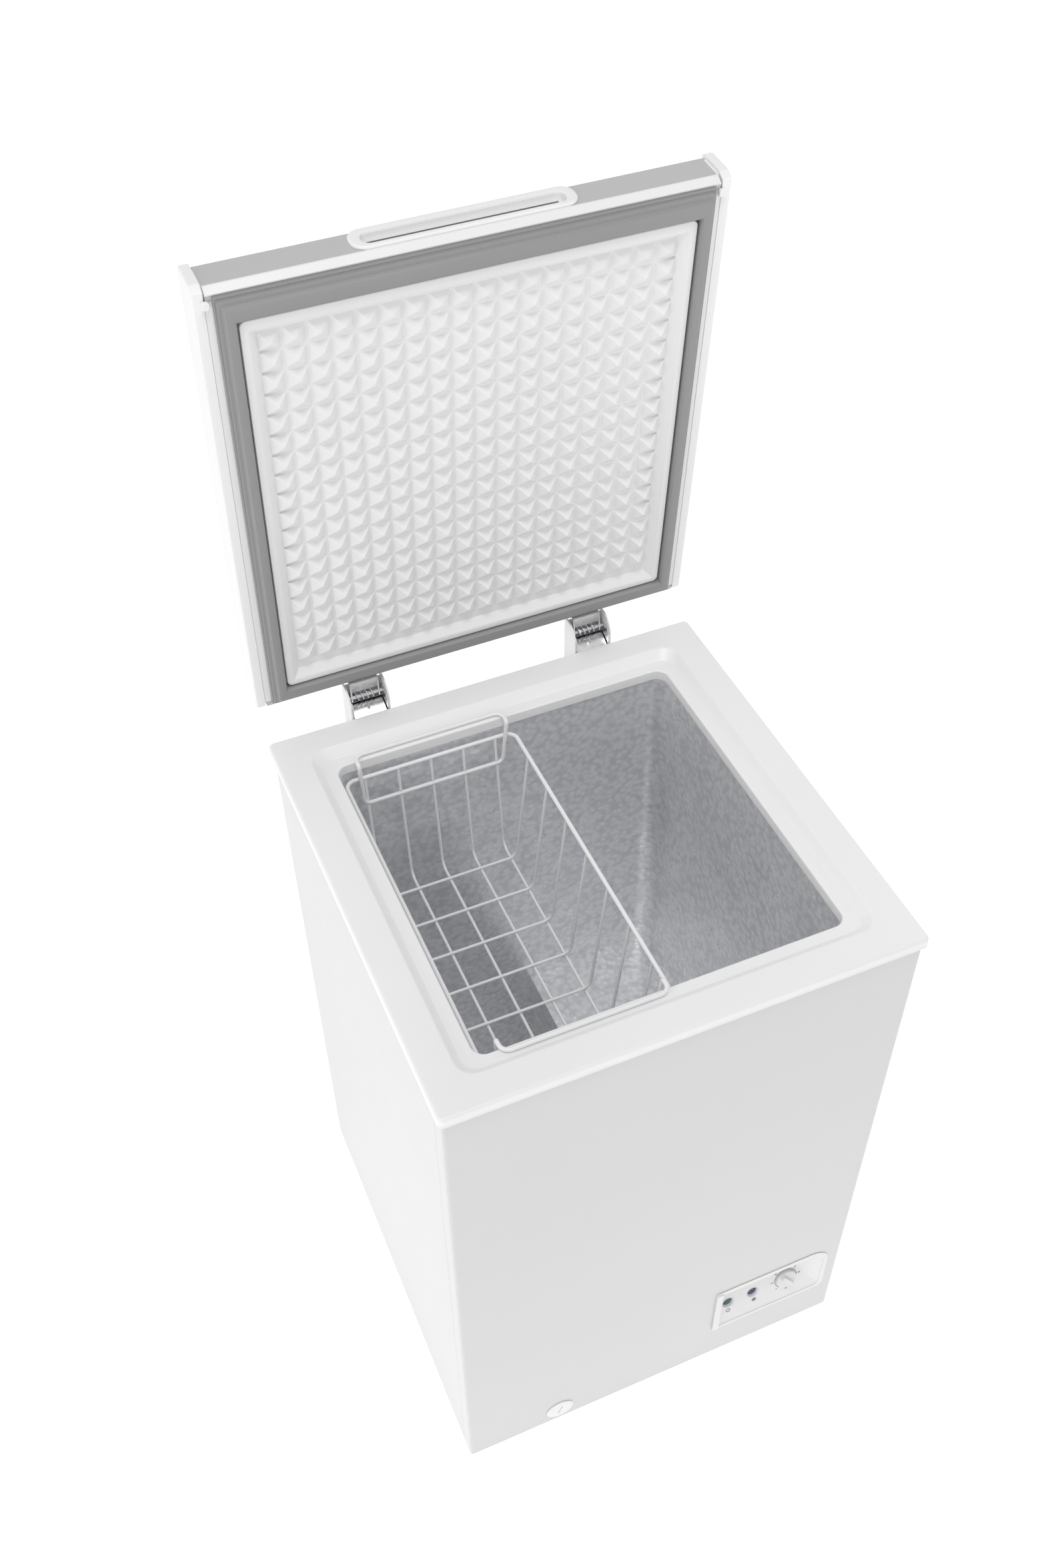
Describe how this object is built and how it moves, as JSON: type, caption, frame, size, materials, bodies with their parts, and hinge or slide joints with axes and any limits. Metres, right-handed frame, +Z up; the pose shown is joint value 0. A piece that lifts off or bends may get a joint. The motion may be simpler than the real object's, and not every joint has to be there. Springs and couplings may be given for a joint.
{
  "type": "chest freezer",
  "caption": "Compact white chest freezer with a hinged lid, lift-out wire basket, thermostat dial, front drain and a tub with a compressor step.",
  "frame": {"origin": "centre of the bounding box's footprint, on the floor, with the lid open", "axes": "+Z up, -Y towards the front with the control panel, +X to the right seen from the front"},
  "size_m": [0.5274, 0.5994, 1.3802],
  "materials": {
    "white_enamel": "satin white enamel",
    "zinc_sheet": "galvanised sheet",
    "white_plastic": "white moulded plastic",
    "embossed_aluminium": "stucco-embossed",
    "coil_aluminium": "plain tube",
    "grey_rubber": "soft grey magnetic seal",
    "black_rubber": "matt",
    "black_enamel": "satin black enamel",
    "copper_tube": "copper coloured tube",
    "bright_wire": "bright plated",
    "white_wire": "white coated wire",
    "foam": "rigid foam, matt",
    "black_plastic": "matt",
    "teal_lens": "clear tinted",
    "blue_lens": "clear tinted"
  },
  "bodies": {
    "cabinet": {"front_panel": "white_enamel", "side_panel_left": "white_enamel", "side_panel_right": "white_enamel", "back_panel": "zinc_sheet", "base_pan": "zinc_sheet", "machine_room_sheet": "zinc_sheet", "thermostat_body": "zinc_sheet", "top_frame": "white_plastic", "control_bezel": "white_plastic", "hinge_cover_left": "white_plastic", "hinge_cover_right": "white_plastic", "machine_cover": "white_plastic", "drain_tube": "white_plastic", "inner_liner": "embossed_aluminium", "evaporator_coil": "coil_aluminium", "compressor_mount_front_left": "black_rubber", "compressor_mount_rear_left": "black_rubber", "compressor_mount_front_right": "black_rubber", "compressor_mount_rear_right": "black_rubber", "lead_gland": "black_rubber", "foot_front_left": "black_rubber", "foot_front_right": "black_rubber", "foot_rear_left": "black_rubber", "foot_rear_right": "black_rubber", "compressor": "black_enamel", "compressor_plate": "black_enamel", "condenser_coil": "black_enamel", "filter_dryer": "copper_tube", "suction_line": "copper_tube", "discharge_line": "copper_tube", "hinge_bracket_left": "bright_wire", "hinge_bracket_right": "bright_wire", "hinge_pin_left": "bright_wire", "hinge_pin_right": "bright_wire", "hinge_spring_left": "bright_wire", "hinge_spring_right": "bright_wire", "foam_insulation": "foam", "relay_cover": "black_plastic", "power_light": "teal_lens", "run_light": "blue_lens"},
    "lid": {"lid_skin": "white_enamel", "lid_foam": "foam", "lid_inner_panel": "white_plastic", "lid_gasket": "grey_rubber", "lid_end_cap_left": "white_plastic", "lid_end_cap_right": "white_plastic", "lid_handle": "white_plastic", "hinge_leaf_left": "bright_wire", "hinge_leaf_right": "bright_wire", "hinge_cap_left": "white_plastic", "hinge_cap_right": "white_plastic"},
    "knob": {"thermostat_knob": "white_plastic"},
    "cap": {"drain_cap": "white_plastic"},
    "plug": {"drain_plug": "black_rubber"},
    "basket": {"wire_basket": "white_wire"}
  },
  "joints": [
    {"name": "lid_hinge", "type": "hinge", "parent": "cabinet", "child": "lid", "pos_m": [0, 0.2548, 0.8206], "axis": [1, 0, 0], "range_deg": [0, 85.4]},
    {"name": "knob_turn", "type": "hinge", "parent": "cabinet", "child": "knob", "pos_m": [0.1898, -0.2868, 0.118], "axis": [0, -0.9701, 0.2425], "range_deg": [-122, 149]},
    {"name": "cap_turn", "type": "hinge", "parent": "cabinet", "child": "cap", "pos_m": [-0.136, -0.2958, 0.036], "axis": [0, -1, 0], "range_deg": [0, 90]},
    {"name": "plug_lift", "type": "slide", "parent": "cabinet", "child": "plug", "axis": [0, 0, 1], "range_m": [0, 0.05]},
    {"name": "basket_slide", "type": "slide", "parent": "cabinet", "child": "basket", "axis": [1, 0, 0], "range_m": [-0.005, 0.19]}
  ]
}
